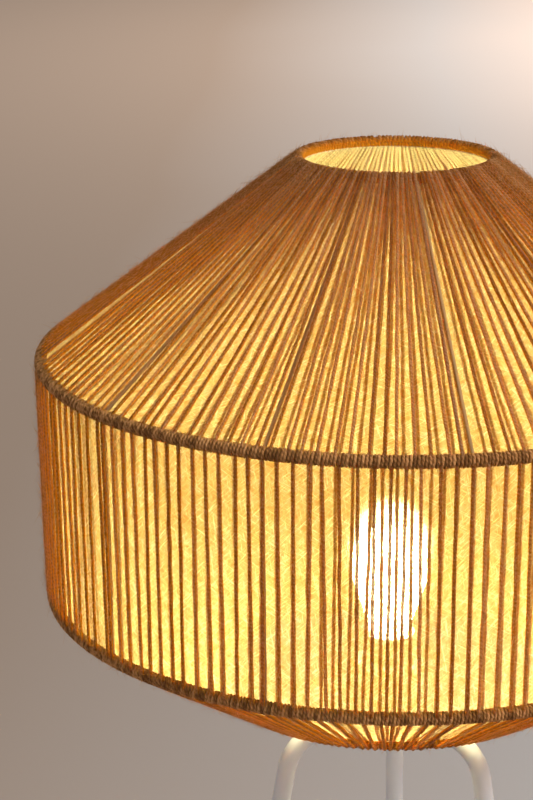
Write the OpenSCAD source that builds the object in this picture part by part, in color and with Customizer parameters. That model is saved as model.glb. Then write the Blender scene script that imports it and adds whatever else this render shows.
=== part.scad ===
// Tripod floor lamp: a wire-framed shade wound with cord, on a stand of three bent tubes.
// The origin is on the floor under the middle of the lamp. +Z is up and -Y is the front.

/* [Shade] */
// Height of the shade's widest ring above the floor
wide_z = 1250; // [1100:10:1500]
// Radius of the widest ring, to the middle of its wire
wide_r = 255; // [240:1:275]
// Radius of the neck ring at the top
neck_r = 70; // [66:1:90]
// Radius of the ring at the bottom of the shade's side
side_r = 251.5; // [235:0.5:272]
// Radius of the ring around the open underside
base_r = 130.5; // [118:0.5:150]
// Rise from the widest ring to the neck ring
cone_h = 141; // [110:1:190]
// Drop from the widest ring to the ring at the bottom of the side
side_h = 175; // [130:1:230]
// Drop from the bottom of the side to the open underside
under_h = 76; // [50:1:100]

/* [Wire, cord and liner] */
// Diameter of the ring wire
ring_wire_d = 4; // [3:0.5:4.5]
// Diameter of the rib wire
rib_wire_d = 2.5; // [2:0.25:3]
// Diameter of a ring once it is bound with cord
bound_d = 7.7; // [7:0.1:8.5]
// Diameter of the cord
cord_d = 2.35; // [1.6:0.05:2.4]
// Runs of cord in each layer
runs = 160; // [80:4:160]
// Ribs around the wire frame
ribs = 12; // [6:6:12]
// Thickness of the paper liner
liner_t = 0.6; // [0.4:0.1:0.9]

/* [Stand] */
// Outer diameter of a leg tube
leg_d = 14; // [12:0.5:14.5]
// Wall of a leg tube
leg_wall = 1.5; // [1:0.1:2]
// Distance from the lamp's axis to where a leg starts to bend
leg_reach = 53; // [45:1:60]
// Radius of the bend, to the middle of the tube
bend_r = 32; // [28:1:45]
// Lean of the straight part of a leg from the vertical, in degrees
leg_splay = 10; // [7:0.5:10]
// Diameter of the hub that joins the legs
hub_d = 60; // [56:1:70]

/* [Bulb] */
// Diameter of the bulb's globe
globe_d = 60; // [45:1:60]
// Height of the globe's middle above the bulb's end contact
globe_rise = 80; // [75:1:85]

/* [Hidden] */
$fn = 96;

// Heights of the rings, and the ring list from the neck down
neck_z = wide_z + cone_h;
side_z = wide_z - side_h;
base_z = side_z - under_h;
RINGS = [[neck_r, neck_z], [wide_r, wide_z], [side_r, side_z], [base_r, base_z]];
NECK = 0;
WIDE = 1;
SIDE = 2;
BASE = 3;

// A section of the shade runs straight from one ring to the next, and is named by its upper ring
CONE = 0;
WALL = 1;
UNDER = 2;
function section_length(s) = norm(RINGS[s + 1] - RINGS[s]);
function along(s) = (RINGS[s + 1] - RINGS[s]) / section_length(s);
function outward(s) = [-along(s)[1], along(s)[0]];
function section_point(s, t, offset) = RINGS[s] + t * along(s) + offset * outward(s);

// Small clearances: touching parts of one body, and parts that turn against each other
touch = 0.05;
turn_gap = 0.3;

// The cord passes over the bound rings, half a diameter clear of them
cord_offset = bound_d / 2 + cord_d / 2 + touch;
rib_angle = 360 / ribs;
first_rib = rib_angle / 2;
cord_angle = 360 / runs;
arm_d = 2.8;

// Angles of the legs, and of the spider's arms before they're turned to the first rib
REAR = 90;
FRONT_LEFT = 210;
FRONT_RIGHT = 330;
LEGS = [REAR, FRONT_LEFT, FRONT_RIGHT];

// Stack of the stand, from the underside ring down
hub_h = 20;
hub_z = base_z - 40;
hub_top = hub_z + hub_h / 2;
hub_bottom = hub_z - hub_h / 2;
washer_t = 1;
washer_r = 9;
nut_h = 4;
nipple_r = 5;
nipple_bore_r = 3.7;
cable_r = 3.2;
cap_bottom = hub_top + washer_t;
cap_h = 20;
cap_neck_h = 4;
nipple_top = cap_bottom + cap_neck_h + 1;
nipple_bottom = hub_bottom - washer_t - nut_h - 2;

// Lampholder: the fitter of the shade lies on the skirt's shoulder
holder_r = 22.5;
skirt_r = 19.3;
thread_r = 19.7;
skirt_bore_r = 17;
seat_z = base_z - 1.5 - turn_gap;
skirt_top = base_z + 32;
fitter_t = 3;
fitter_r = 27.5;
ring_h = 7.2;
ring_r = 26;
ring_z = seat_z + turn_gap + fitter_t + turn_gap;
insert_bottom = base_z - 13;
insert_seat = base_z + 1;
shell_top = base_z + 27;
shell_r = 13.6;
sheet_t = 0.6;
terminal_x = 9;
terminal_r = 1.45;

// Bulb, from its end contact up
bulb_z = base_z + 5;
globe_r = globe_d / 2;
globe_z = bulb_z + globe_rise;
cap_r = 13.2;
cap_root_r = 12.2;
cap_pitch = 3.6;
cap_start = bulb_z + 6;
cap_end = cap_start + 20;
neck_out_r = 13.4;
glass_t = 1;
stem_top = bulb_z + 52;
filament_r = 9;

// Legs
socket_r = 12;
leg_start = socket_r + 1;
screw_r = 22;
leg_sides = 24;
bend_steps = 10;
bend_end = [leg_reach + bend_r * cos(leg_splay), hub_z - bend_r * (1 - sin(leg_splay))];
foot_at = bend_end[0] + bend_end[1] * tan(leg_splay);
foot_pad = 8;
foot_h = 26;
foot_wall = 2.2;

// ---------- helpers ----------

// A ring of the profile below, around the lamp's axis, in equal arcs that leave a gap at each rib
module arcs(r, half_gap) {
    skip = asin(half_gap / r);
    for (i = [0 : ribs - 1])
        rotate(first_rib + i * rib_angle + skip)
            rotate_extrude(angle = rib_angle - 2 * skip)
                children();
}

// A straight rod along a section of the shade, beside its middle line
module rod(s, offset, d, trim, angle) {
    p = section_point(s, trim, offset);
    rotate(angle)
        translate([p[0], 0, p[1]])
            rotate([0, atan2(along(s)[0], along(s)[1]), 0])
                cylinder(d = d, h = section_length(s) - 2 * trim);
}

// A disc with a hole, from z up
module washer(r, hole_r, z, h) {
    translate([0, 0, z])
        difference() {
            cylinder(r = r, h = h);
            translate([0, 0, -1]) cylinder(r = hole_r, h = h + 2);
        }
}

// Half section of a ridged sleeve: ridges of the given pitch between z0 and z1
module ridged_sleeve(bore_r, root_r, crest_r, z0, z1, pitch) {
    n = floor((z1 - z0) / pitch);
    ridges = [for (i = [0 : n - 1], k = [0 : 1])
        [k == 0 ? root_r : crest_r, z0 + (i + k / 2) * pitch]];
    rotate_extrude()
        polygon(concat([[bore_r, z0]], ridges, [[root_r, z0 + n * pitch], [root_r, z1], [bore_r, z1]]));
}

// Middle line of a leg as [distance from the axis, height, slope below the level]:
// level from the hub, round the bend and straight down into the foot
function leg_line() = concat(
    [[leg_start, hub_z, 0]],
    [for (i = [0 : bend_steps])
        let (a = i * (90 - leg_splay) / bend_steps)
            [leg_reach + bend_r * sin(a), hub_z - bend_r * (1 - cos(a)), a]],
    [[foot_at - foot_pad * sin(leg_splay), foot_pad * cos(leg_splay), 90 - leg_splay]]
);

// Points of a circle square to the middle line at one of its stations
function station_circle(p, r) = [for (k = [0 : leg_sides - 1])
    let (t = k * 360 / leg_sides)
        [p[0] + r * cos(t) * sin(p[2]), r * sin(t), p[1] + r * cos(t) * cos(p[2])]];

// Leg tube, swept along its middle line with an outer and an inner skin
module leg_tube(angle) {
    line = leg_line();
    last = len(line) - 1;
    n = leg_sides;
    points = [for (p = line, r = [leg_d / 2, leg_d / 2 - leg_wall], q = station_circle(p, r)) q];
    function at(i, skin, k) = (2 * i + skin) * n + k % n;
    skins = [for (i = [0 : last - 1], k = [0 : n - 1], skin = [0, 1])
        skin == 0
            ? [at(i, 0, k), at(i, 0, k + 1), at(i + 1, 0, k + 1), at(i + 1, 0, k)]
            : [at(i, 1, k), at(i + 1, 1, k), at(i + 1, 1, k + 1), at(i, 1, k + 1)]];
    ends = [for (i = [0, last], k = [0 : n - 1])
        i == 0
            ? [at(i, 0, k), at(i, 1, k), at(i, 1, k + 1), at(i, 0, k + 1)]
            : [at(i, 0, k), at(i, 0, k + 1), at(i, 1, k + 1), at(i, 1, k)]];
    rotate(angle)
        difference() {
            polyhedron(points, concat(skins, ends), convexity = 6);
            translate([screw_r, 0, hub_bottom]) cylinder(r = 2.5, h = hub_h / 2);
        }
}

// A cap over the end of a leg, cut level where it stands on the floor
module foot(angle) {
    rotate(angle)
        difference() {
            translate([foot_at, 0, 0])
                rotate([0, -leg_splay, 0]) {
                    translate([0, 0, -foot_pad]) cylinder(d = leg_d + 2 * foot_wall, h = foot_h + foot_pad - 2);
                    translate([0, 0, foot_h - 2])
                        cylinder(d1 = leg_d + 2 * foot_wall, d2 = leg_d + foot_wall, h = 2);
                }
            translate([foot_at, 0, 0])
                rotate([0, -leg_splay, 0])
                    translate([0, 0, foot_pad]) cylinder(d = leg_d + 2 * touch, h = foot_h);
            translate([foot_at - leg_d * 2, -leg_d * 2, -leg_d * 2]) cube(leg_d * 2 * [2, 2, 1]);
        }
}

// ---------- stand ----------

module hub() {
    color("gainsboro")
        difference() {
            union() {
                translate([0, 0, hub_bottom]) cylinder(d1 = hub_d - 4, d2 = hub_d, h = 2);
                translate([0, 0, hub_bottom + 2]) cylinder(d = hub_d, h = hub_h - 4);
                translate([0, 0, hub_top - 2]) cylinder(d1 = hub_d, d2 = hub_d - 4, h = 2);
            }
            translate([0, 0, hub_bottom - 1]) cylinder(r = nipple_r + 0.1, h = hub_h + 2);
            for (a = LEGS)
                rotate(a) {
                    translate([socket_r, 0, hub_z]) rotate([0, 90, 0]) cylinder(d = leg_d + 2 * touch, h = hub_d);
                    translate([screw_r, 0, hub_bottom - 1]) cylinder(r = 2.5, h = hub_h / 2);
                }
        }
}

module front_left_leg() {
    color("gainsboro") leg_tube(FRONT_LEFT);
}

module front_right_leg() {
    color("gainsboro") leg_tube(FRONT_RIGHT);
}

module rear_leg() {
    color("gainsboro") leg_tube(REAR);
}

module leg_screws() {
    color("silver")
        for (a = LEGS)
            rotate(a)
                translate([screw_r, 0, hub_bottom]) {
                    cylinder(r = 2.4, h = 6);
                    translate([0, 0, -2.5])
                        difference() {
                            cylinder(r = 4.2, h = 2.5);
                            translate([0, 0, -1]) cylinder(r = 1.7, h = 2.5, $fn = 6);
                        }
                }
}

module front_left_foot() {
    color("dimgray") foot(FRONT_LEFT);
}

module front_right_foot() {
    color("dimgray") foot(FRONT_RIGHT);
}

module rear_foot() {
    color("dimgray") foot(REAR);
}

module stem_nipple() {
    color("silver") washer(nipple_r, nipple_bore_r, nipple_bottom, nipple_top - nipple_bottom);
}

module nipple_nut() {
    color("silver")
        translate([0, 0, hub_bottom - washer_t - nut_h])
            difference() {
                cylinder(d = 16, h = nut_h, $fn = 6);
                translate([0, 0, -1]) cylinder(r = nipple_r + touch, h = nut_h + 2);
            }
}

module nipple_washer() {
    color("silver") washer(washer_r, nipple_r + 0.1, hub_bottom - washer_t, washer_t);
}

module seat_washer() {
    color("silver") washer(washer_r, nipple_r + 0.1, hub_top, washer_t);
}

// Bush that lines the lower end of the nipple, where the mains lead comes in
module cable_bush() {
    color("dimgray")
        difference() {
            union() {
                translate([0, 0, nipple_bottom]) cylinder(r = nipple_bore_r - touch, h = 8);
                translate([0, 0, nipple_bottom - 2.5]) cylinder(r1 = 5.5, r2 = 6.5, h = 2.5);
            }
            translate([0, 0, nipple_bottom - 3]) cylinder(r = cable_r, h = 12);
        }
}

// ---------- lampholder ----------

module holder_cap() {
    color("white")
        difference() {
            union() {
                translate([0, 0, cap_bottom]) cylinder(r = 10, h = cap_neck_h);
                translate([0, 0, cap_bottom + 2]) cylinder(r1 = 12, r2 = holder_r, h = 8);
                translate([0, 0, cap_bottom + 10]) cylinder(r = holder_r, h = cap_h - 10);
            }
            translate([0, 0, cap_bottom - 1]) cylinder(r = nipple_r + touch, h = cap_h);
            translate([0, 0, cap_bottom + cap_neck_h]) cylinder(r1 = 10, r2 = holder_r - 2, h = 8);
            translate([0, 0, cap_bottom + cap_neck_h + 8]) cylinder(r = holder_r - 2, h = cap_h);
        }
}

module holder_skirt() {
    color("white")
        union() {
            ridged_sleeve(skirt_bore_r, skirt_r, thread_r, seat_z, skirt_top, 2);
            washer(holder_r + 0.5, skirt_bore_r, cap_bottom + cap_h, seat_z - cap_bottom - cap_h);
            washer(holder_r - 2.1, skirt_bore_r, insert_bottom, cap_bottom + cap_h - insert_bottom);
            washer(holder_r - 2.1, 13, insert_bottom - 2, 2);
        }
}

module holder_insert() {
    color("ivory")
        difference() {
            translate([0, 0, insert_bottom]) cylinder(r = skirt_bore_r - touch, h = shell_top - insert_bottom);
            translate([0, 0, insert_seat]) cylinder(r = shell_r + sheet_t + touch, h = cap_h * 2);
            for (x = [-terminal_x, terminal_x])
                translate([x, 0, insert_bottom - 1]) cylinder(r = terminal_r + touch, h = 11.5);
        }
}

// Threaded metal shell that takes the bulb
module screw_shell() {
    color("goldenrod") {
        washer(shell_r + sheet_t, shell_r, insert_seat + sheet_t, shell_top - insert_seat - sheet_t);
        washer(shell_r + sheet_t, 8, insert_seat, sheet_t);
    }
}

// Sprung strip under the bulb's end contact, drawn as a hat in side view
module centre_contact() {
    rise = bulb_z - insert_seat - 0.4;
    color("goldenrod")
        translate([0, 2, insert_seat])
            rotate([90, 0, 0])
                linear_extrude(4)
                    polygon([
                        [-6.5, 0], [-3.4, 0], [-2, rise - sheet_t], [2, rise - sheet_t], [3.4, 0], [6.5, 0],
                        [6.5, sheet_t], [3.8, sheet_t], [2.4, rise], [-2.4, rise], [-3.8, sheet_t], [-6.5, sheet_t]
                    ]);
}

module terminal_screws() {
    color("goldenrod")
        for (x = [-terminal_x, terminal_x])
            translate([x, 0, insert_bottom]) {
                cylinder(r = terminal_r, h = 10);
                translate([0, 0, -2])
                    difference() {
                        cylinder(r = 2.6, h = 2);
                        translate([-3, -0.4, -1]) cube([6, 0.8, 2]);
                    }
            }
}

// Threaded ring that holds the shade down on the lampholder's shoulder
module shade_ring() {
    lugs = 16;
    color("white")
        difference() {
            washer(ring_r, thread_r + turn_gap, ring_z, ring_h);
            for (i = [0 : lugs - 1])
                rotate((i + 0.5) * 360 / lugs)
                    translate([ring_r + 0.8, 0, ring_z - 1]) cylinder(r = 1.8, h = ring_h + 2);
        }
}

// ---------- bulb ----------

// Outside of the glass, shrunk by t: a cone that meets the globe along a tangent
module glass_form(t) {
    rise = globe_z - cap_end;
    reach = norm([neck_out_r - t, rise]);
    lean = asin((globe_r - t) / reach) - atan((neck_out_r - t) / rise);
    tangent = sqrt(reach * reach - (globe_r - t) * (globe_r - t));
    translate([0, 0, cap_end])
        cylinder(r1 = neck_out_r - t, r2 = neck_out_r - t + tangent * sin(lean), h = tangent * cos(lean));
    translate([0, 0, globe_z]) sphere(r = globe_r - t);
}

module bulb_glass() {
    seal_r = cap_root_r - 0.9;
    color("lightyellow", 0.6) {
        difference() {
            glass_form(0);
            glass_form(glass_t);
        }
        washer(neck_out_r, seal_r - glass_t, cap_end, glass_t);
        washer(seal_r, seal_r - glass_t, cap_end - 6, 6 + glass_t);
    }
}

module bulb_cap() {
    color("silver") ridged_sleeve(cap_root_r - sheet_t, cap_root_r, cap_r, cap_start, cap_end, cap_pitch);
}

module bulb_insulator() {
    color("black") {
        translate([0, 0, bulb_z + 2]) cylinder(r1 = 5.6, r2 = 11.4, h = cap_start - bulb_z - 2);
        translate([0, 0, cap_start]) cylinder(r = cap_root_r - sheet_t - touch, h = 2);
    }
}

module bulb_contact() {
    color("silver") translate([0, 0, bulb_z]) cylinder(r1 = 3.8, r2 = 5.6, h = 2);
}

// Glass mount inside the bulb
module bulb_stem() {
    color("lightyellow", 0.6) {
        translate([0, 0, cap_end - 6]) cylinder(r1 = 10.1, r2 = 4, h = 6);
        translate([0, 0, cap_end]) cylinder(r = 4, h = stem_top - cap_end);
    }
}

// Four upright filaments on a cross of lead wires
module bulb_filaments() {
    color("orange")
        for (a = [0 : 90 : 270])
            rotate(a) {
                translate([filament_r, 0, stem_top]) cylinder(d = 1.8, h = 32);
                translate([0, 0, stem_top + 1]) rotate([0, 90, 0]) cylinder(d = 1, h = filament_r);
            }
}

// ---------- wire frame of the shade ----------

module ring_wire(k) {
    color("silver")
        translate([0, 0, RINGS[k][1]])
            rotate_extrude()
                translate([RINGS[k][0], 0]) circle(d = ring_wire_d);
}

module neck_ring() {
    ring_wire(NECK);
}

module wide_ring() {
    ring_wire(WIDE);
}

module side_ring() {
    ring_wire(SIDE);
}

module base_ring() {
    ring_wire(BASE);
}

module rib_wires(s) {
    color("silver")
        for (i = [0 : ribs - 1])
            rod(s, 0, rib_wire_d, ring_wire_d / 2 + touch, first_rib + i * rib_angle);
}

module cone_ribs() {
    rib_wires(CONE);
}

module side_ribs() {
    rib_wires(WALL);
}

module under_ribs() {
    rib_wires(UNDER);
}

// Flat ring that lies on the lampholder's shoulder, with three arms to the underside ring
module fitter_spider() {
    color("silver")
        union() {
            washer(fitter_r, thread_r + 0.5, seat_z + turn_gap, fitter_t);
            for (a = LEGS)
                rotate(a + first_rib)
                    translate([fitter_r - 0.8, 0, base_z])
                        rotate([0, 90, 0])
                            cylinder(d = arm_d, h = base_r - ring_wire_d / 2 - touch - fitter_r + 0.8);
        }
}

// ---------- cord and liner ----------

// Cord bound round a ring between the ribs
module binding(k, half_gap) {
    color("saddlebrown")
        translate([0, 0, RINGS[k][1]])
            arcs(RINGS[k][0], half_gap)
                translate([RINGS[k][0], 0])
                    difference() {
                        circle(d = bound_d);
                        circle(d = ring_wire_d + 2 * touch);
                    }
}

module neck_binding() {
    binding(NECK, rib_wire_d / 2 + 0.2);
}

module wide_binding() {
    binding(WIDE, rib_wire_d / 2 + 0.2);
}

module side_binding() {
    binding(SIDE, rib_wire_d / 2 + 0.2);
}

module base_binding() {
    binding(BASE, arm_d / 2 + 0.2);
}

// Paper liner of a section, against the inner side of the ribs, in panels that meet at them
module liner(s) {
    front = -rib_wire_d / 2 - 0.1;
    back = front - liner_t;
    trim = bound_d / 2 + 0.45;
    far = section_length(s) - trim;
    color("wheat")
        arcs(wide_r, touch)
            polygon([
                section_point(s, trim, back), section_point(s, far, back),
                section_point(s, far, front), section_point(s, trim, front)
            ]);
}

module cone_liner() {
    liner(CONE);
}

module side_liner() {
    liner(WALL);
}

module under_liner() {
    liner(UNDER);
}

// Runs of cord from ring to ring. Those of the wall lie between those of the sections beside it.
module cords(s, layer_offset) {
    shift = s == WALL ? 0.5 : 0;
    color("peru")
        for (i = [0 : runs - 1])
            rod(s, layer_offset, cord_d, 0, (i + shift) * cord_angle);
}

module cone_outer_cords() {
    cords(CONE, cord_offset);
}

module side_outer_cords() {
    cords(WALL, cord_offset);
}

module under_outer_cords() {
    cords(UNDER, cord_offset);
}

module cone_inner_cords() {
    cords(CONE, -cord_offset);
}

module side_inner_cords() {
    cords(WALL, -cord_offset);
}

module under_inner_cords() {
    cords(UNDER, -cord_offset);
}

hub();
front_left_leg();
front_right_leg();
rear_leg();
leg_screws();
front_left_foot();
front_right_foot();
rear_foot();
stem_nipple();
nipple_nut();
nipple_washer();
seat_washer();
cable_bush();
holder_cap();
holder_skirt();
holder_insert();
screw_shell();
centre_contact();
terminal_screws();
shade_ring();
bulb_glass();
bulb_cap();
bulb_insulator();
bulb_contact();
bulb_stem();
bulb_filaments();
neck_ring();
wide_ring();
side_ring();
base_ring();
cone_ribs();
side_ribs();
under_ribs();
fitter_spider();
neck_binding();
wide_binding();
side_binding();
base_binding();
cone_liner();
side_liner();
under_liner();
cone_outer_cords();
side_outer_cords();
under_outer_cords();
cone_inner_cords();
side_inner_cords();
under_inner_cords();
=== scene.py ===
"""Looks of a tripod floor lamp whose shade is wound with jute cord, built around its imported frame.

Lengths are in metres. The lamp stands on z = 0, its axis is the Z axis, and -Y is the front.
"""

import math

import bpy
import numpy as np
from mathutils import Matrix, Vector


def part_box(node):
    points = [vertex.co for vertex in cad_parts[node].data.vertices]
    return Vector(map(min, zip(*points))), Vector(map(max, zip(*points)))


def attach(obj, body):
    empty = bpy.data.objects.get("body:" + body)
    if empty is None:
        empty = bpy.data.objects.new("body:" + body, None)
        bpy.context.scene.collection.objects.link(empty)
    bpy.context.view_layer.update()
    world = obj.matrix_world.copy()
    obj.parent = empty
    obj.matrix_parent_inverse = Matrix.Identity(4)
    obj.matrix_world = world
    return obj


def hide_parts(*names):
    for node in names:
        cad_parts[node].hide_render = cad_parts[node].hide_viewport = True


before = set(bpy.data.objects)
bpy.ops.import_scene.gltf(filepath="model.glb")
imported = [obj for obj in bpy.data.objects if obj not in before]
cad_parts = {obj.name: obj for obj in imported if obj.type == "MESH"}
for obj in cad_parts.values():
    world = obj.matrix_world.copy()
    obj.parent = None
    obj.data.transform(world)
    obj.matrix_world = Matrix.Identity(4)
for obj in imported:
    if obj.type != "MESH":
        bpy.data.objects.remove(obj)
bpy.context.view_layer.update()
MM = 0.001

# ---------- camera ----------

CAMERA_DISTANCE = 1569.5 * MM
CAMERA_ABOVE_WIDE_RING = 437.8 * MM
CAMERA_AZIMUTH = 3.5
CAMERA_YAW = 3.32
CAMERA_PITCH = 16.86
CAMERA_ROLL = 0.16
LENS = 100.7


def make_camera(aim_height):
    """Camera in front of the lamp, a little to its right, looking down at the shade."""
    camera = bpy.data.objects.new("camera", bpy.data.cameras.new("camera"))
    bpy.context.scene.collection.objects.link(camera)
    azimuth = math.radians(CAMERA_AZIMUTH)
    camera.location = (
        CAMERA_DISTANCE * math.sin(azimuth),
        -CAMERA_DISTANCE * math.cos(azimuth),
        aim_height + CAMERA_ABOVE_WIDE_RING,
    )
    camera.rotation_euler = (
        math.radians(90 - CAMERA_PITCH),
        math.radians(CAMERA_ROLL),
        azimuth + math.radians(CAMERA_YAW),
    )
    camera.data.lens = LENS
    camera.data.sensor_width = 36
    bpy.context.scene.camera = camera


# ---------- sizes from the frame ----------


def ring_of(node):
    """(radius, height) of the middle of a ring's wire."""
    low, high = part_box(node)
    wire_r = (high.z - low.z) / 2
    return np.array([high.x - wire_r, (high.z + low.z) / 2])


NECK = ring_of("neck_ring")
WIDE = ring_of("wide_ring")
SIDE = ring_of("side_ring")
BASE = ring_of("base_ring")
SECTIONS = {"cone": (NECK, WIDE), "side": (WIDE, SIDE), "under": (SIDE, BASE)}

# Runs of cord in each layer, and the angle from one to the next
RUNS = 160
RUN_ANGLE = 2 * math.pi / RUNS
RIBS = 12
# Pieces that a layer is made in, around the lamp
SECTORS = 3
CORD_R = 1.45 * MM
# From the line between two ring wires to a run's middle, and to the liner
LAYER_OFFSET = 3.45 * MM
LINER_OFFSET = -1.6 * MM
LINER_TRIM = 3.3 * MM
# How far a run's ends sink into the binding, and over what length
SINK = 0.75 * MM
SINK_LENGTH = 3 * MM
# A run's bend over an end ring, in degrees from the section's outward side
BEND_ANGLES = np.linspace(115, 15, 10)
# Outer runs lean only by chance. Inner runs also lean one way and drift. All are shares of RUN_ANGLE.
OUTER_LEAN = 0.09
INNER_LEAN_TOP = -0.42
INNER_LEAN_BOTTOM = -0.60
INNER_DRIFT = 0.13
INNER_LEAN = 0.10
# From a ring wire's middle to the middle of the cord bound round it
TURN_OFFSET = 3.55 * MM
BASE_TURN_OFFSET = TURN_OFFSET - 0.65 * MM
NECK_TURN_OFFSET = TURN_OFFSET - 0.85 * MM
BOUND_TURNS = 660
OUTER_LAY = 5.6 * MM
INNER_LAY = 8.0 * MM
FIBRES_IN_LOT = 15000

# ---------- meshes ----------


def new_mesh(name, points, faces, uv=None, tones=None, smooth=True):
    """Object from arrays.

    points is (n, 3) and faces a list of (m, corners) arrays. uv holds a pair for each corner, and tones a value
    for each point.
    """
    mesh = bpy.data.meshes.new(name)
    corners = np.concatenate([f.reshape(-1) for f in faces])
    sizes = np.concatenate([np.full(len(f), f.shape[1]) for f in faces])
    starts = np.concatenate([[0], np.cumsum(sizes)[:-1]])
    mesh.vertices.add(len(points))
    mesh.vertices.foreach_set("co", np.asarray(points, np.float32).reshape(-1))
    mesh.loops.add(len(corners))
    mesh.loops.foreach_set("vertex_index", corners.astype(np.int32))
    mesh.polygons.add(len(sizes))
    mesh.polygons.foreach_set("loop_start", starts.astype(np.int32))
    mesh.polygons.foreach_set("loop_total", sizes.astype(np.int32))
    if uv is not None:
        layer = mesh.uv_layers.new(name="length")
        layer.data.foreach_set("uv", np.asarray(uv, np.float32).reshape(-1))
    if tones is not None:
        attribute = mesh.attributes.new("tone", "FLOAT", "POINT")
        attribute.data.foreach_set("value", np.asarray(tones, np.float32))
    mesh.polygons.foreach_set("use_smooth", np.full(len(sizes), smooth))
    mesh.update()
    piece = bpy.data.objects.new(name, mesh)
    bpy.context.scene.collection.objects.link(piece)
    return piece


def unit(vectors):
    """The vectors, each with a length of one."""
    return vectors / np.linalg.norm(vectors, axis=-1, keepdims=True)


def grid_faces(rows, columns, closed_rows, closed_columns):
    """Quads of a grid of points, row by row."""
    r = np.arange(rows if closed_rows else rows - 1)
    c = np.arange(columns if closed_columns else columns - 1)
    r, c = np.meshgrid(r, c, indexing="ij")
    r, c = r.ravel(), c.ravel()
    r2, c2 = (r + 1) % rows, (c + 1) % columns
    return np.stack([r * columns + c, r * columns + c2, r2 * columns + c2, r2 * columns + c], 1)


def wander(distance, waves, runs, rng, longest=60 * MM, shortest=9 * MM):
    """Smooth random values of about -1 to 1 along each run, from waves of random length and phase."""
    total = np.zeros((runs, distance.shape[-1]))
    for _ in range(waves):
        length = rng.uniform(shortest, longest, (runs, 1))
        total += np.sin(2 * math.pi * distance / length + rng.uniform(0, 2 * math.pi, (runs, 1)))
    return total / math.sqrt(waves)


def yarn(name, paths, across, lay, rng, girth=1.0, sides=6, closed=False):
    """Two-ply cord along each path, its two strands shown by a lobed section that turns once in each lay.

    paths is (runs, points, 3), and across is one vector for each run, square to the plane of its path.
    girth scales the cord's radius, at each point or everywhere.
    """
    runs, points, _ = paths.shape
    if closed:
        tangent = np.roll(paths, -1, 1) - np.roll(paths, 1, 1)
        steps = np.linalg.norm(np.roll(paths, -1, 1) - paths, axis=2)
        distance = np.concatenate([np.zeros((runs, 1)), np.cumsum(steps, 1)[:, :-1]], 1)
        lay = steps.sum(1, keepdims=True) / np.round(steps.sum(1, keepdims=True) / lay * 2) * 2
    else:
        tangent = np.gradient(paths, axis=1)
        steps = np.linalg.norm(np.diff(paths, axis=1), axis=2)
        distance = np.concatenate([np.zeros((runs, 1)), np.cumsum(steps, 1)], 1)
    tangent = unit(tangent)
    sideways = across[:, None] - (across[:, None] * tangent).sum(2, keepdims=True) * tangent
    sideways = unit(sideways)
    normal = np.cross(tangent, sideways)
    phase = rng.uniform(0, 2 * math.pi, (runs, 1))
    turn = 2 * math.pi * distance / lay + phase
    thickness = CORD_R * girth * np.ones((runs, points))
    if not closed:
        thickness *= 1 + 0.06 * wander(distance, 4, runs, rng)
    angle = 2 * math.pi * np.arange(sides) / sides
    lobe = 0.85 + 0.15 * np.cos(2 * angle)
    around = turn[..., None] + angle
    reach = (thickness[..., None] * lobe)[..., None]
    shell = paths[:, :, None] + reach * (
        np.cos(around)[..., None] * normal[:, :, None] + np.sin(around)[..., None] * sideways[:, :, None]
    )
    one = grid_faces(points, sides, closed, True)
    shift = (np.arange(runs) * points * sides)[:, None, None]
    quads = (one[None] + shift).reshape(-1, 4)
    corner_u = np.tile(np.arange(sides), points if closed else points - 1)
    u = np.stack([corner_u, corner_u + 1, corner_u + 1, corner_u], 1) / sides
    row = np.repeat(np.arange(points if closed else points - 1), sides)
    far = np.concatenate([distance, distance[:, -1:] + steps[:, -1:]], 1)
    v = far[:, np.stack([row, row, row + 1, row + 1], 1)] + phase[..., None]
    uv = np.stack([np.broadcast_to(u, v.shape), v], -1).reshape(-1, 2)
    faces = [quads]
    if not closed:
        ends = np.arange(sides)[None] + (np.arange(runs) * points * sides)[:, None]
        faces += [ends[:, ::-1], ends + (points - 1) * sides]
        uv = np.concatenate([uv, np.zeros((2 * runs * sides, 2))])
    tones = np.repeat(rng.uniform(0, 1, runs), points * sides)
    return new_mesh(name, shell.reshape(-1, 3), faces, uv, tones)


def meridian(points, angles):
    """Points given as (runs, n, 3) of radius, height and sideways shift, turned to each run's angle."""
    radial = np.stack([np.cos(angles), np.sin(angles), np.zeros_like(angles)], -1)
    sideways = np.stack([-np.sin(angles), np.cos(angles), np.zeros_like(angles)], -1)
    up = np.array([0, 0, 1.0])
    return (
        points[..., 0:1] * radial[..., None, :]
        + points[..., 1:2] * up
        + points[..., 2:3] * sideways[..., None, :]
    )


def run_line(section, layer, step):
    """Middle line of one run in its meridian plane, and each point's share of the way from its upper ring down.

    The run is straight between its rings. An outer run also bends over the neck ring and the base ring.
    """
    top, bottom = SECTIONS[section]
    length = np.linalg.norm(bottom - top)
    along = (bottom - top) / length
    outward = layer * np.array([-along[1], along[0]])
    t = np.linspace(0, 1, round(length / step))[:, None]
    sink_top = np.exp(-t * length / SINK_LENGTH) * (top is not NECK)
    sink_bottom = np.exp((t - 1) * length / SINK_LENGTH) * (bottom is not BASE)
    points = top + t * (bottom - top) + (LAYER_OFFSET - SINK * (sink_top + sink_bottom)) * outward
    share = t[:, 0]
    bend = np.radians(BEND_ANGLES)[:, None]
    if top is NECK and layer > 0:
        over = top + LAYER_OFFSET * (np.cos(bend) * outward - np.sin(bend) * along)
        points = np.concatenate([over, points])
        share = np.concatenate([np.zeros(len(over)), share])
    if bottom is BASE and layer > 0:
        over = bottom + LAYER_OFFSET * (np.cos(bend[::-1]) * outward + np.sin(bend[::-1]) * along)
        points = np.concatenate([points, over])
        share = np.concatenate([share, np.ones(len(over))])
    return points, share


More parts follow.
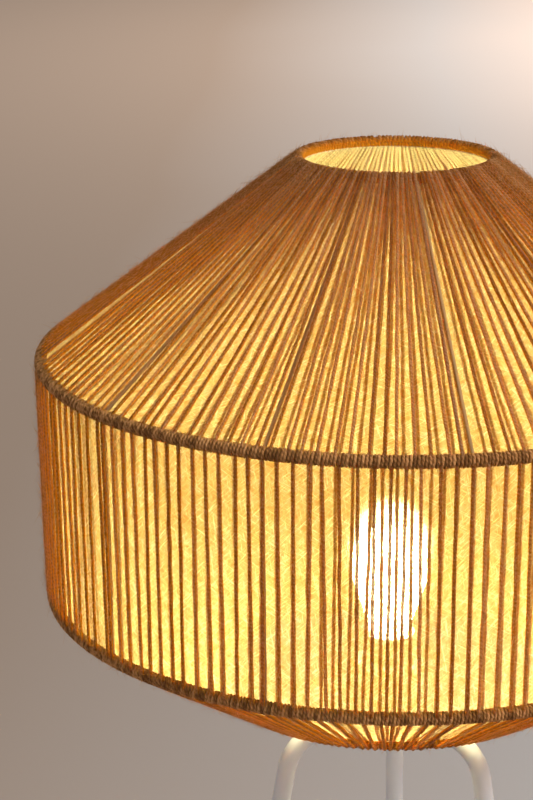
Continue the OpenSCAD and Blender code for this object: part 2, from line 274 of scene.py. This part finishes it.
def cord_layer(section, layer, step, lay, seed, material):
    """All runs of one layer of a section, in a few pieces around the lamp. layer is 1 outside and -1 inside."""
    rng = np.random.default_rng(seed)
    line, share = run_line(section, layer, step)
    number = np.arange(RUNS) + (0.5 if section == "side" else 0)
    if layer > 0:
        over_ribs = (np.arange(RIBS) + 0.5) * RUNS / RIBS
        nearest = np.abs(number[:, None] - over_ribs).argmin(0)
        number[nearest] = over_ribs
        lean_top = OUTER_LEAN * rng.standard_normal(RUNS)
        lean_bottom = OUTER_LEAN * rng.standard_normal(RUNS)
    else:
        drift = wander(number[None] * RUN_ANGLE, 5, 1, rng, longest=2.2, shortest=0.3)[0]
        lean_top = INNER_LEAN_TOP + INNER_DRIFT * drift + INNER_LEAN * rng.standard_normal(RUNS)
        lean_bottom = INNER_LEAN_BOTTOM + INNER_DRIFT * drift + INNER_LEAN * rng.standard_normal(RUNS)
    side = "outer" if layer > 0 else "inner"
    for sector in range(SECTORS):
        picked = np.arange(RUNS) * SECTORS // RUNS == sector
        angles = number[picked] * RUN_ANGLE
        radius = line[:, 0][None]
        lean = lean_top[picked, None] * (1 - share) + lean_bottom[picked, None] * share
        sway = 0.16 * MM * wander(share[None] * 0.2, 3, picked.sum(), rng, 0.12, 0.03)
        lift = 0.10 * MM * wander(share[None] * 0.2, 3, picked.sum(), rng, 0.12, 0.03)
        shift = lean * radius * RUN_ANGLE + sway * np.sin(math.pi * share)
        points = np.empty((picked.sum(), len(line), 3))
        points[..., 0] = radius + lift * np.sin(math.pi * share)
        points[..., 1] = line[:, 1]
        points[..., 2] = shift
        across = np.stack([-np.sin(angles), np.cos(angles), np.zeros_like(angles)], -1)
        node = f"{section}_{side}_cords"
        piece = yarn(f"{node}_{sector + 1}", meridian(points, angles), across, lay, rng)
        piece.data.materials.append(material)
        dress(piece, f"{side}_cord", node)


def dress(piece, slot, *nodes, body="shade"):
    """Says what a new piece rides on and hides the CAD nodes that it stands for; slot, the finish it names, is
    not used.
    """
    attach(piece, body)
    if nodes:
        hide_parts(*nodes)


def ring_turns(node, ring, count, offset, seed, material):
    """Turns of cord bound tightly round a ring."""
    rng = np.random.default_rng(seed)
    places = np.arange(count) * 2 * math.pi / count
    t = np.linspace(0, 2 * math.pi, 14, endpoint=False)
    radius = offset * (1 + 0.012 * rng.standard_normal((count, 1)))
    points = np.empty((count, len(t), 3))
    points[..., 0] = ring[0] + radius * np.cos(t)
    points[..., 1] = ring[1] + radius * np.sin(t)
    points[..., 2] = 0.12 * MM * rng.standard_normal((count, 1)) + 0.7 * MM * np.sin(t + 0.6)
    across = np.stack([-np.sin(places), np.cos(places), np.zeros_like(places)], -1)
    piece = yarn(node, meridian(points, places), across, OUTER_LAY, rng, closed=True)
    piece.data.materials.append(material)
    dress(piece, "binding_cord", node)


def blank(top_r, bottom_r, slant):
    """Width, length and area of the flat ring sector that a section's liner is cut to."""
    wide_r, narrow_r = max(top_r, bottom_r), min(top_r, bottom_r)
    sine = (wide_r - narrow_r) / slant
    far = wide_r / sine
    half = math.pi * sine
    width = 2 * far * math.sin(min(half, math.pi / 2))
    lowest = (far if half > math.pi / 2 else far - slant) * math.cos(half)
    return width, far - lowest, math.pi * (wide_r + narrow_r) * slant


def liner(section, seed, material):
    """Thin fibrous sheet stretched over the wire frame between the two layers of cord."""
    rng = np.random.default_rng(seed)
    top, bottom = SECTIONS[section]
    length = np.linalg.norm(bottom - top)
    along = (bottom - top) / length
    outward = np.array([-along[1], along[0]])
    rows = 48
    columns = 480
    s = np.linspace(LINER_TRIM, length - LINER_TRIM, rows)[:, None]
    angles = np.linspace(0, 2 * math.pi, columns, endpoint=False)[None]
    ripple = np.zeros((rows, columns))
    for _ in range(10):
        waves = rng.integers(6, 90)
        ripple += np.sin(waves * angles + rng.uniform(0, 6.28) + s / length * rng.uniform(-9, 9))
    ripple *= 0.10 * MM / math.sqrt(5)
    middle = top + s[..., None] * along
    offset = (LINER_OFFSET + ripple)[..., None] * outward
    flat = middle + offset
    radius, height = flat[..., 0], flat[..., 1]
    points = np.stack([radius * np.cos(angles), radius * np.sin(angles), height], -1)
    quads = grid_faces(rows, columns, False, True)
    arc = np.concatenate([angles[0], [2 * math.pi]]) * (top[0] + bottom[0]) / 2
    column = np.tile(np.arange(columns), rows - 1)
    row = np.repeat(np.arange(rows - 1), columns)
    u = arc[np.stack([column, column + 1, column + 1, column], 1)]
    v = s[:, 0][np.stack([row, row, row + 1, row + 1], 1)]
    piece = new_mesh(f"{section}_liner", points.reshape(-1, 3), [quads], np.stack([u, v], -1))
    piece.data.materials.append(material)
    dress(piece, "liner_paper", f"{section}_liner")
    top_edge = top + LINER_TRIM * along + LINER_OFFSET * outward
    bottom_edge = bottom - LINER_TRIM * along + LINER_OFFSET * outward
    width, height, area = blank(top_edge[0], bottom_edge[0], length - 2 * LINER_TRIM)


def cord_fibres(name, section, count, seed, material):
    """Loose jute fibres that stand off the outer cords: thin three-sided hairs that taper to a point."""
    rng = np.random.default_rng(seed)
    top, bottom = SECTIONS[section]
    along = (bottom - top) / np.linalg.norm(bottom - top)
    outward = np.array([-along[1], along[0]])
    t = rng.uniform(0, 1, count)
    run = rng.integers(0, RUNS, count) + (0.5 if section == "side" else 0)
    angle = run * RUN_ANGLE
    base = top + t[:, None] * (bottom - top) + LAYER_OFFSET * outward
    radial = np.stack([np.cos(angle), np.sin(angle), np.zeros(count)], -1)
    side = np.stack([-np.sin(angle), np.cos(angle), np.zeros(count)], -1)
    up = np.array([0, 0, 1.0])
    lengthwise = along[0] * radial + along[1] * up
    normal = outward[0] * radial + outward[1] * up
    spin = rng.uniform(-0.5, math.pi + 0.5, count)[:, None]
    off = np.cos(spin) * side + np.sin(spin) * normal
    start = base[:, 0:1] * radial + base[:, 1:2] * up + 0.8 * CORD_R * off
    sign = rng.choice([-1.0, 1.0], count)[:, None]
    heading = unit(
        sign * rng.uniform(0.3, 1.0, count)[:, None] * lengthwise
        + rng.uniform(0.15, 0.75, count)[:, None] * off
        + 0.45 * rng.standard_normal((count, 1)) * side
    )
    curl = unit(rng.standard_normal((count, 3))) * 0.35 + 0.25 * sign * lengthwise - 0.2 * off
    length = np.minimum(rng.exponential(3.2, count) + 1.2, 11)[:, None] * MM
    thick = rng.uniform(0.06, 0.12, count)[:, None] * MM
    square_a = unit(np.cross(heading, side + 0.3 * normal))
    square_b = np.cross(heading, square_a)
    stations = []
    for share, width in ((0, 1.0), (0.5, 0.8)):
        middle = start + length * (share * heading + share * share * curl)
        for k in range(3):
            a = 2 * math.pi * k / 3
            stations.append(middle + thick * width * (math.cos(a) * square_a + math.sin(a) * square_b))
    stations.append(start + length * (heading + curl))
    points = np.stack(stations, 1)
    shift = (np.arange(count) * 7)[:, None, None]
    quads = np.array([[k, (k + 1) % 3, 3 + (k + 1) % 3, 3 + k] for k in range(3)])
    tips = np.array([[3, 4, 6], [4, 5, 6], [5, 3, 6], [2, 1, 0]])
    faces = [(quads[None] + shift).reshape(-1, 4), (tips[None] + shift).reshape(-1, 3)]
    tones = np.repeat(rng.uniform(0, 1, count), 7)
    piece = new_mesh(name, points.reshape(-1, 3), faces, tones=tones)
    piece.data.materials.append(material)
    dress(piece, "outer_cord")


# ---------- materials ----------


class Nodes:
    """A material's node tree, with short ways to add and join nodes."""

    def __init__(self, name):
        self.material = bpy.data.materials.new(name)
        self.material.use_nodes = True
        self.tree = self.material.node_tree
        self.tree.nodes.clear()
        self.output = self.tree.nodes.new("ShaderNodeOutputMaterial")

    def add(self, kind, inputs=None, **settings):
        """A node with its settings. An input that is a socket is linked, and any other is a value."""
        node = self.tree.nodes.new(kind)
        for key, value in settings.items():
            setattr(node, key, value)
        for key, value in (inputs or {}).items():
            if isinstance(value, bpy.types.NodeSocket):
                self.tree.links.new(value, node.inputs[key])
            else:
                node.inputs[key].default_value = value
        return node

    def ramp(self, value, *stops):
        """A colour ramp over (position, colour) stops."""
        node = self.add("ShaderNodeValToRGB", {"Fac": value})
        elements = node.color_ramp.elements
        while len(elements) < len(stops):
            elements.new(0.5)
        for element, (position, colour) in zip(elements, stops):
            element.position = position
            element.color = (*colour, 1)
        return node.outputs["Color"]

    def noise(self, vector, scale, detail=3.0, roughness=0.55, distortion=0.0):
        """A noise value from 0 to 1."""
        inputs = {"Vector": vector, "Scale": scale, "Detail": detail}
        inputs.update({"Roughness": roughness, "Distortion": distortion})
        return self.add("ShaderNodeTexNoise", inputs).outputs["Fac"]

    def stretch(self, vector, scale, turn=0.0):
        """A vector scaled by axis and turned about Z."""
        inputs = {"Vector": vector, "Scale": tuple(1 / k for k in scale), "Rotation": (0, 0, turn)}
        return self.add("ShaderNodeMapping", inputs, vector_type="TEXTURE").outputs["Vector"]

    def math(self, operation, a, b=0.0, clamp=False):
        """One operation on two values or sockets."""
        node = self.add("ShaderNodeMath", {0: a, 1: b}, operation=operation, use_clamp=clamp)
        return node.outputs[0]

    def vector(self, operation, a, b=(0, 0, 0)):
        """The node of one operation on two vectors or sockets."""
        return self.add("ShaderNodeVectorMath", {0: a, 1: b}, operation=operation)

    def bump(self, height, strength, distance):
        """A bump from a height."""
        inputs = {"Height": height, "Strength": strength, "Distance": distance}
        return self.add("ShaderNodeBump", inputs).outputs["Normal"]

    def place(self):
        """The point on the piece, in metres."""
        return self.add("ShaderNodeTexCoord").outputs["Object"]

    def uv(self):
        """The piece's own coordinates along its length."""
        return self.add("ShaderNodeUVMap", uv_map="length").outputs["UV"]

    def tone(self):
        """A random number for each run of cord."""
        return self.add("ShaderNodeAttribute", attribute_name="tone").outputs["Fac"]

    def mix(self, share, first, second):
        """One shader mixed with another."""
        return self.add("ShaderNodeMixShader", {0: share, 1: first, 2: second}).outputs[0]

    def finish(self, surface):
        """The material, with this surface."""
        self.tree.links.new(surface, self.output.inputs["Surface"])
        return self.material


def jute(name, dark, middle, light, inside, glow, glow_share, open_share):
    """Twisted jute: painted shade in the grooves between its two strands, streaks, a tone for each run, and a
    painted glow of the lamp's light on the side that faces the lamp's inside.

    glow_share is how much light it passes on where it faces out and where it faces in, and open_share how much
    goes straight through between its fibres.
    """
    n = Nodes(name)
    uv = n.uv()
    streak = n.noise(n.stretch(uv, (8, 620, 1)), 1.0, 3.0, 0.7, 0.6)
    blotch = n.noise(n.stretch(uv, (1.5, 75, 1)), 1.0, 3.0)
    around = n.add("ShaderNodeSeparateXYZ", {0: uv}).outputs["X"]
    # Painted shade: ply darkens the grooves between the two strands and lightens their crowns; it also feeds the
    # bump
    ply = n.math("MULTIPLY", n.math("COSINE", n.math("MULTIPLY", around, 4 * math.pi)), 0.09)
    value = n.math("ADD", n.math("MULTIPLY", streak, 0.75), n.math("MULTIPLY", blotch, 0.45))
    value = n.math("ADD", n.math("ADD", value, ply), n.math("MULTIPLY", n.tone(), 0.30))
    value = n.math("SUBTRACT", value, 0.25)
    colour = n.ramp(value, (0.36, dark), (0.54, middle), (0.78, light))
    surface = n.add("ShaderNodeTexCoord").outputs["Normal"]
    middle_of_shade = (0, 0, (WIDE[1] + SIDE[1]) / 2)
    outward = n.vector("SUBTRACT", n.place(), middle_of_shade).outputs[0]
    outward = n.vector("NORMALIZE", outward).outputs[0]
    facing = n.vector("DOT_PRODUCT", outward, surface).outputs["Value"]
    # Painted glow: the side of each cord that faces the lamp's inside takes the inside colour, as if lit by the
    # bulb
    inward = n.add("ShaderNodeMapRange", {0: facing, 1: 0.7, 2: -0.1, 3: 0.0, 4: 1.0}).outputs[0]
    painted_lamp_glow = n.ramp(value, (0.2, tuple(0.6 * c for c in inside)), (0.6, inside))
    colour = n.add("ShaderNodeMix", {0: inward, 6: colour, 7: painted_lamp_glow}, data_type="RGBA").outputs[2]
    normal = n.bump(n.math("ADD", streak, ply), 0.8, 0.35 * MM)
    inputs = {"Base Color": colour, "Roughness": 0.92, "Normal": normal, "Specular IOR Level": 0.2}
    body = n.add("ShaderNodeBsdfPrincipled", inputs).outputs[0]
    through = n.add("ShaderNodeBsdfTranslucent", {"Color": (*glow, 1)}).outputs[0]
    share = n.math("ADD", n.math("MULTIPLY", inward, glow_share[1] - glow_share[0]), glow_share[0])
    cord = n.mix(share, body, through)
    return n.finish(n.mix(open_share, cord, n.add("ShaderNodeBsdfTransparent").outputs[0]))


def fibre_material():
    """Loose jute fibres, which catch the light from behind."""
    n = Nodes("jute_fibre")
    colour = n.ramp(n.tone(), (0.0, (0.36, 0.20, 0.08)), (1.0, (0.75, 0.52, 0.26)))
    body = n.add("ShaderNodeBsdfPrincipled", {"Base Color": colour, "Roughness": 0.8}).outputs[0]
    through = n.add("ShaderNodeBsdfTranslucent", {"Color": (0.9, 0.55, 0.2, 1)}).outputs[0]
    return n.finish(n.mix(0.5, body, through))


def liner_material():
    """Fibrous paper: it scatters the light of the bulb, and its thin patches let a little straight through."""
    n = Nodes("liner_paper")
    uv = n.uv()
    mottle = n.noise(uv, 210.0, 5.0, 0.65, 0.8)
    mottle = n.math("ADD", n.math("MULTIPLY", n.math("SUBTRACT", mottle, 0.5), 2.2), 0.5, clamp=True)
    wisps = None
    for turn, along, across in ((0.5, 60, 1100), (-0.7, 80, 1300), (1.4, 70, 1000), (2.3, 60, 1200)):
        streak = n.noise(n.stretch(uv, (along, across, 1), turn), 1.0, 2.0, 0.5, 1.2)
        streak = n.math("MULTIPLY", n.math("SUBTRACT", streak, 0.57), 8.0, clamp=True)
        wisps = streak if wisps is None else n.math("MAXIMUM", wisps, streak)
    colour = n.ramp(
        n.math("ADD", n.math("MULTIPLY", wisps, 0.45), n.math("MULTIPLY", mottle, 0.65)),
        (0.12, (0.60, 0.34, 0.07)), (0.45, (0.84, 0.66, 0.27)), (0.85, (0.98, 0.93, 0.66)),
    )
    through = n.add("ShaderNodeBsdfTranslucent", {"Color": colour}).outputs[0]
    normal = n.bump(n.math("ADD", wisps, mottle), 0.5, 0.2 * MM)
    tinted = {0: 1.0, 6: colour, 7: (0.95, 0.82, 0.35, 1)}
    front = n.add("ShaderNodeMix", tinted, data_type="RGBA", blend_type="MULTIPLY")
    inputs = {"Base Color": front.outputs[2], "Roughness": 0.6, "Normal": normal}
    body = n.add("ShaderNodeBsdfPrincipled", inputs).outputs[0]
    paper = n.mix(0.68, body, through)
    veil = {"Color": (1.0, 0.96, 0.86, 1), "Roughness": 0.42, "IOR": 1.12}
    paper = n.mix(0.09, paper, n.add("ShaderNodeBsdfRefraction", veil).outputs[0])
    clear = n.add("ShaderNodeBsdfTransparent").outputs[0]
    gap = n.math("SUBTRACT", n.math("MULTIPLY", mottle, 0.34), n.math("MULTIPLY", wisps, 0.16), clamp=True)
    return n.finish(n.mix(gap, paper, clear))


def glowing_glass():
    """Frosted glass of the lit bulb."""
    n = Nodes("bulb_glass")
    grain = n.noise(n.place(), 400.0, 2.0)
    inputs = {
        "Base Color": n.ramp(grain, (0.3, (0.90, 0.88, 0.84)), (0.7, (0.97, 0.95, 0.92))),
        "Roughness": 0.35,
        "Emission Color": (1.0, 0.90, 0.50, 1),
        "Emission Strength": 112.0,
    }
    n.material.cycles.emission_sampling = "FRONT"
    return n.finish(n.add("ShaderNodeBsdfPrincipled", inputs).outputs[0])


def painted_steel():
    """Off-white powder coat with a fine orange peel."""
    n = Nodes("stand_paint")
    place = n.place()
    peel = n.noise(place, 900.0, 3.0)
    tint = n.noise(place, 14.0, 3.0)
    inputs = {
        "Base Color": n.ramp(tint, (0.3, (0.64, 0.67, 0.74)), (0.7, (0.71, 0.735, 0.80))),
        "Roughness": n.ramp(peel, (0.3, (0.42, 0.42, 0.42)), (0.7, (0.58, 0.58, 0.58))),
        "Normal": n.bump(peel, 0.25, 0.15 * MM),
        "Coat Weight": 0.15,
    }
    return n.finish(n.add("ShaderNodeBsdfPrincipled", inputs).outputs[0])


def metal(name, dull, bright, scale=350.0):
    """Plated metal, with faint scratches and cloudy patches."""
    n = Nodes(name)
    place = n.place()
    cloud = n.noise(place, scale / 4, 3.0)
    scratch = n.noise(n.stretch(place, (1, 1, 14)), scale, 4.0, 0.7)
    inputs = {
        "Base Color": n.ramp(cloud, (0.3, dull), (0.7, bright)),
        "Metallic": 1.0,
        "Roughness": n.ramp(scratch, (0.3, (0.28, 0.28, 0.28)), (0.8, (0.5, 0.5, 0.5))),
        "Normal": n.bump(scratch, 0.15, 0.05 * MM),
    }
    return n.finish(n.add("ShaderNodeBsdfPrincipled", inputs).outputs[0])


def moulded(name, low, high, roughness, scale=500.0, strength=0.2):
    """Moulded plastic, rubber or ceramic with a fine grain."""
    n = Nodes(name)
    place = n.place()
    grain = n.noise(place, scale, 3.0)
    cloud = n.noise(place, 30.0, 2.0)
    inputs = {
        "Base Color": n.ramp(cloud, (0.3, low), (0.7, high)),
        "Roughness": roughness,
        "Normal": n.bump(grain, strength, 0.1 * MM),
    }
    return n.finish(n.add("ShaderNodeBsdfPrincipled", inputs).outputs[0])


def paint_node(node, material):
    """Gives a CAD node's object a better material."""
    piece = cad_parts[node]
    if not piece.material_slots:
        piece.data.materials.append(material)
    for place in piece.material_slots:
        place.material = material


# ---------- stand and bulb ----------

LEG_ANGLES = {"rear_leg": 90, "front_left_leg": 210, "front_right_leg": 330}
LEG_REACH = 53 * MM
LEG_BEND_R = 32 * MM
LEG_SPLAY = math.radians(10)
LEG_START = 13 * MM
LEG_WALL = 1.5 * MM
FOOT_PAD = 8 * MM


def leg(name, angle, material):
    """Bent tube, swept along its middle line with an outer and an inner skin."""
    low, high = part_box("hub")
    hub_z = (low.z + high.z) / 2
    tube_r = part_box("rear_leg")[1].z - hub_z
    bend = np.linspace(0, math.pi / 2 - LEG_SPLAY, 28)
    end_r = LEG_REACH + LEG_BEND_R * math.cos(LEG_SPLAY)
    end_z = hub_z - LEG_BEND_R * (1 - math.sin(LEG_SPLAY))
    foot_r = end_r + end_z * math.tan(LEG_SPLAY)
    line = [(LEG_START, hub_z, 0.0)]
    for a in bend:
        line.append((LEG_REACH + LEG_BEND_R * math.sin(a), hub_z - LEG_BEND_R * (1 - math.cos(a)), a))
    line += [(foot_r - FOOT_PAD * math.sin(LEG_SPLAY), FOOT_PAD * math.cos(LEG_SPLAY), bend[-1])]
    sides = 40
    t = 2 * math.pi * np.arange(sides) / sides
    turn = math.radians(angle)
    rows = []
    order = [(p, tube_r) for p in line] + [(p, tube_r - LEG_WALL) for p in reversed(line)]
    for (r, z, slope), radius in order:
        away = r + radius * np.cos(t) * math.sin(slope)
        side = radius * np.sin(t)
        height = z + radius * np.cos(t) * math.cos(slope)
        x = away * math.cos(turn) - side * math.sin(turn)
        y = away * math.sin(turn) + side * math.cos(turn)
        rows.append(np.stack([x, y, height], -1))
    faces = grid_faces(len(rows), sides, True, True)
    piece = new_mesh(name, np.concatenate(rows), [faces])
    piece.data.materials.append(material)
    dress(piece, "stand_paint", name, body="stand")


def bulb_glass(material):
    """Globe and neck of the bulb as one smooth lathed form."""
    low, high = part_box("bulb_glass")
    cap_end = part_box("bulb_cap")[1].z
    globe_r = (high.x - low.x) / 2
    globe_z = high.z - globe_r
    neck_r = 13.4 * MM
    rise = globe_z - cap_end
    reach = math.hypot(neck_r, rise)
    lean = math.asin(globe_r / reach) - math.atan(neck_r / rise)
    outline = [(neck_r - 2 * MM, cap_end - 2 * MM), (neck_r - 0.5 * MM, cap_end), (neck_r, cap_end + 1.5 * MM)]
    tangent = math.sqrt(reach**2 - globe_r**2)
    for share in (0.2, 0.4, 0.6, 0.8):
        outline.append((neck_r + share * tangent * math.sin(lean), cap_end + share * tangent * math.cos(lean)))
    for a in np.linspace(-lean, math.pi / 2, 26):
        outline.append((globe_r * math.cos(a), globe_z + globe_r * math.sin(a)))
    sides = 64
    t = 2 * math.pi * np.arange(sides) / sides
    rows = [np.stack([r * np.cos(t), r * np.sin(t), np.full(sides, z)], -1) for r, z in outline[:-1]]
    points = np.concatenate(rows + [np.array([[0, 0, globe_z + globe_r]])])
    quads = grid_faces(len(rows), sides, False, True)
    last = (len(rows) - 1) * sides + np.arange(sides)
    tip = np.stack([last, np.roll(last, -1), np.full(sides, len(points) - 1)], 1)
    bottom = np.arange(sides)[::-1][None]
    piece = new_mesh("bulb_glass_frosted", points, [quads, tip, bottom])
    piece.data.materials.append(material)
    dress(piece, "bulb_glass", "bulb_glass", body="bulb")


# ---------- studio ----------


def area_light(name, place, aim, size, power, colour):
    """Soft round light that faces a point."""
    light = bpy.data.lights.new(name, "AREA")
    light.shape = "DISK"
    light.size = size
    light.energy = power
    light.color = colour
    holder = bpy.data.objects.new(name, light)
    bpy.context.scene.collection.objects.link(holder)
    holder.location = place
    direction = np.array(aim) - np.array(place)
    yaw = math.atan2(-direction[0], direction[1])
    pitch = math.atan2(math.hypot(direction[0], direction[1]), -direction[2])
    holder.rotation_euler = (pitch, 0, yaw)


def studio():
    """Pale floor with painted light and shade on it, a soft world and three soft lights."""
    world = bpy.data.worlds.new("studio")
    bpy.context.scene.world = world
    world.use_nodes = True
    background = world.node_tree.nodes["Background"]
    background.inputs["Color"].default_value = (0.80, 0.76, 0.72, 1)
    background.inputs["Strength"].default_value = 0.42
    n = Nodes("studio_floor")
    place = n.place()
    across = n.add("ShaderNodeSeparateXYZ", {0: place}).outputs
    # Painted light and shade: the floor is darker and browner towards the left as a painted shadow, and brighter
    # and warmer towards the right and a little towards the back as a painted pool of light
    drift = n.math("ADD", n.math("MULTIPLY", across["X"], 0.30), n.math("MULTIPLY", across["Y"], 0.022))
    value = n.math("ADD", n.math("ADD", drift, 0.30), n.math("MULTIPLY", n.noise(place, 0.35, 2.0), 0.12))
    inputs = {
        "Base Color": n.ramp(
            value, (0.1, (0.46, 0.36, 0.29)), (0.46, (0.60, 0.575, 0.57)), (0.9, (0.96, 0.77, 0.66))
        ),
        "Roughness": 0.9,
    }
    material = n.finish(n.add("ShaderNodeBsdfPrincipled", inputs).outputs[0])
    half = 20.0
    corners = np.array([[-half, -half, 0], [half, -half, 0], [half, half, 0], [-half, half, 0]])
    floor = new_mesh("studio_floor", corners, [np.array([[0, 1, 2, 3]])], smooth=False)
    floor.data.materials.append(material)
    area_light("key", (2.2, -0.9, 3.1), (0, 0, 1.2), 1.4, 78.0, (1.0, 0.95, 0.90))
    area_light("wash", (2.6, 11.0, 5.5), (0.5, 11.0, 0), 3.5, 470.0, (1.0, 0.89, 0.80))
    area_light("fill", (-2.6, -2.2, 2.2), (0, 0, 1.1), 2.0, 12.0, (0.86, 0.90, 1.0))


# ---------- making ----------

bpy.context.scene.view_settings.view_transform = "Standard"
make_camera(WIDE[1])
studio()

# The fourth colour of each jute is its painted glow: the colour of the side that faces the lamp's inside, as if
# lit by the bulb
outer_jute = jute(
    "outer_cord", (0.06, 0.028, 0.009), (0.25, 0.130, 0.052), (0.58, 0.36, 0.18),
    (0.98, 0.50, 0.04), (0.98, 0.46, 0.02), (0.31, 0.62), 0.14,
)
inner_jute = jute(
    "inner_cord", (0.36, 0.17, 0.02), (0.68, 0.38, 0.07), (0.90, 0.62, 0.18),
    (0.98, 0.93, 0.54), (0.84, 0.27, 0.0), (0.30, 0.20), 0.04,
)
bound_jute = jute(
    "binding_cord", (0.17, 0.070, 0.020), (0.54, 0.245, 0.080), (0.80, 0.42, 0.17),
    (0.6, 0.33, 0.08), (0.8, 0.40, 0.06), (0.12, 0.3), 0.0,
)
paper = liner_material()
fibres = fibre_material()

for seed, section in enumerate(SECTIONS):
    cord_layer(section, 1, 0.9 * MM, OUTER_LAY, 100 + seed, outer_jute)
    cord_layer(section, -1, 1.3 * MM, INNER_LAY, 200 + seed, inner_jute)
    liner(section, 300 + seed, paper)
for section, lots in {"cone": 3, "side": 3, "under": 1}.items():
    for lot in range(lots):
        seed = 400 + 10 * len(section) + lot
        cord_fibres(f"{section}_fibres_{lot + 1}", section, FIBRES_IN_LOT, seed, fibres)

ring_turns("wide_binding", WIDE, BOUND_TURNS, TURN_OFFSET, 501, bound_jute)
ring_turns("side_binding", SIDE, BOUND_TURNS, TURN_OFFSET, 502, bound_jute)
ring_turns("base_binding", BASE, BOUND_TURNS // 2, BASE_TURN_OFFSET, 503, outer_jute)
ring_turns("neck_binding", NECK, BOUND_TURNS // 4, NECK_TURN_OFFSET, 504, outer_jute)

paint = painted_steel()
for leg_name, leg_angle in LEG_ANGLES.items():
    leg(leg_name, leg_angle, paint)
bulb_glass(glowing_glass())

zinc = metal("zinc_steel", (0.55, 0.56, 0.58), (0.72, 0.73, 0.75))
brass = metal("contact_brass", (0.62, 0.45, 0.20), (0.80, 0.62, 0.32))
rubber = moulded("foot_rubber", (0.045, 0.045, 0.048), (0.07, 0.07, 0.072), 0.75)
nylon = moulded("bush_nylon", (0.05, 0.05, 0.05), (0.08, 0.08, 0.08), 0.5)
plastic = moulded("holder_plastic", (0.80, 0.78, 0.72), (0.86, 0.84, 0.79), 0.38, 700.0, 0.12)
ceramic = moulded("insert_ceramic", (0.82, 0.80, 0.74), (0.90, 0.88, 0.83), 0.3, 300.0, 0.1)
wire = moulded("frame_wire", (0.36, 0.22, 0.085), (0.46, 0.29, 0.12), 0.6, 300.0, 0.2)
black = moulded("bulb_black", (0.02, 0.02, 0.02), (0.04, 0.04, 0.04), 0.25)
glass = moulded("stem_glass", (0.85, 0.86, 0.85), (0.93, 0.94, 0.93), 0.1)
finishes = {
    "hub": paint, "leg_screws": zinc, "front_left_foot": rubber, "front_right_foot": rubber, "rear_foot": rubber,
    "stem_nipple": zinc, "nipple_nut": zinc, "nipple_washer": zinc, "seat_washer": zinc, "cable_bush": nylon,
    "holder_cap": plastic, "holder_skirt": plastic, "shade_ring": plastic, "holder_insert": ceramic,
    "screw_shell": brass, "centre_contact": brass, "terminal_screws": brass,
    "bulb_cap": zinc, "bulb_contact": zinc, "bulb_insulator": black, "bulb_stem": glass, "bulb_filaments": brass,
    "neck_ring": wire, "wide_ring": wire, "side_ring": wire, "base_ring": wire,
    "cone_ribs": wire, "side_ribs": wire, "under_ribs": wire, "fitter_spider": wire,
}
for node_name, node_material in finishes.items():
    paint_node(node_name, node_material)
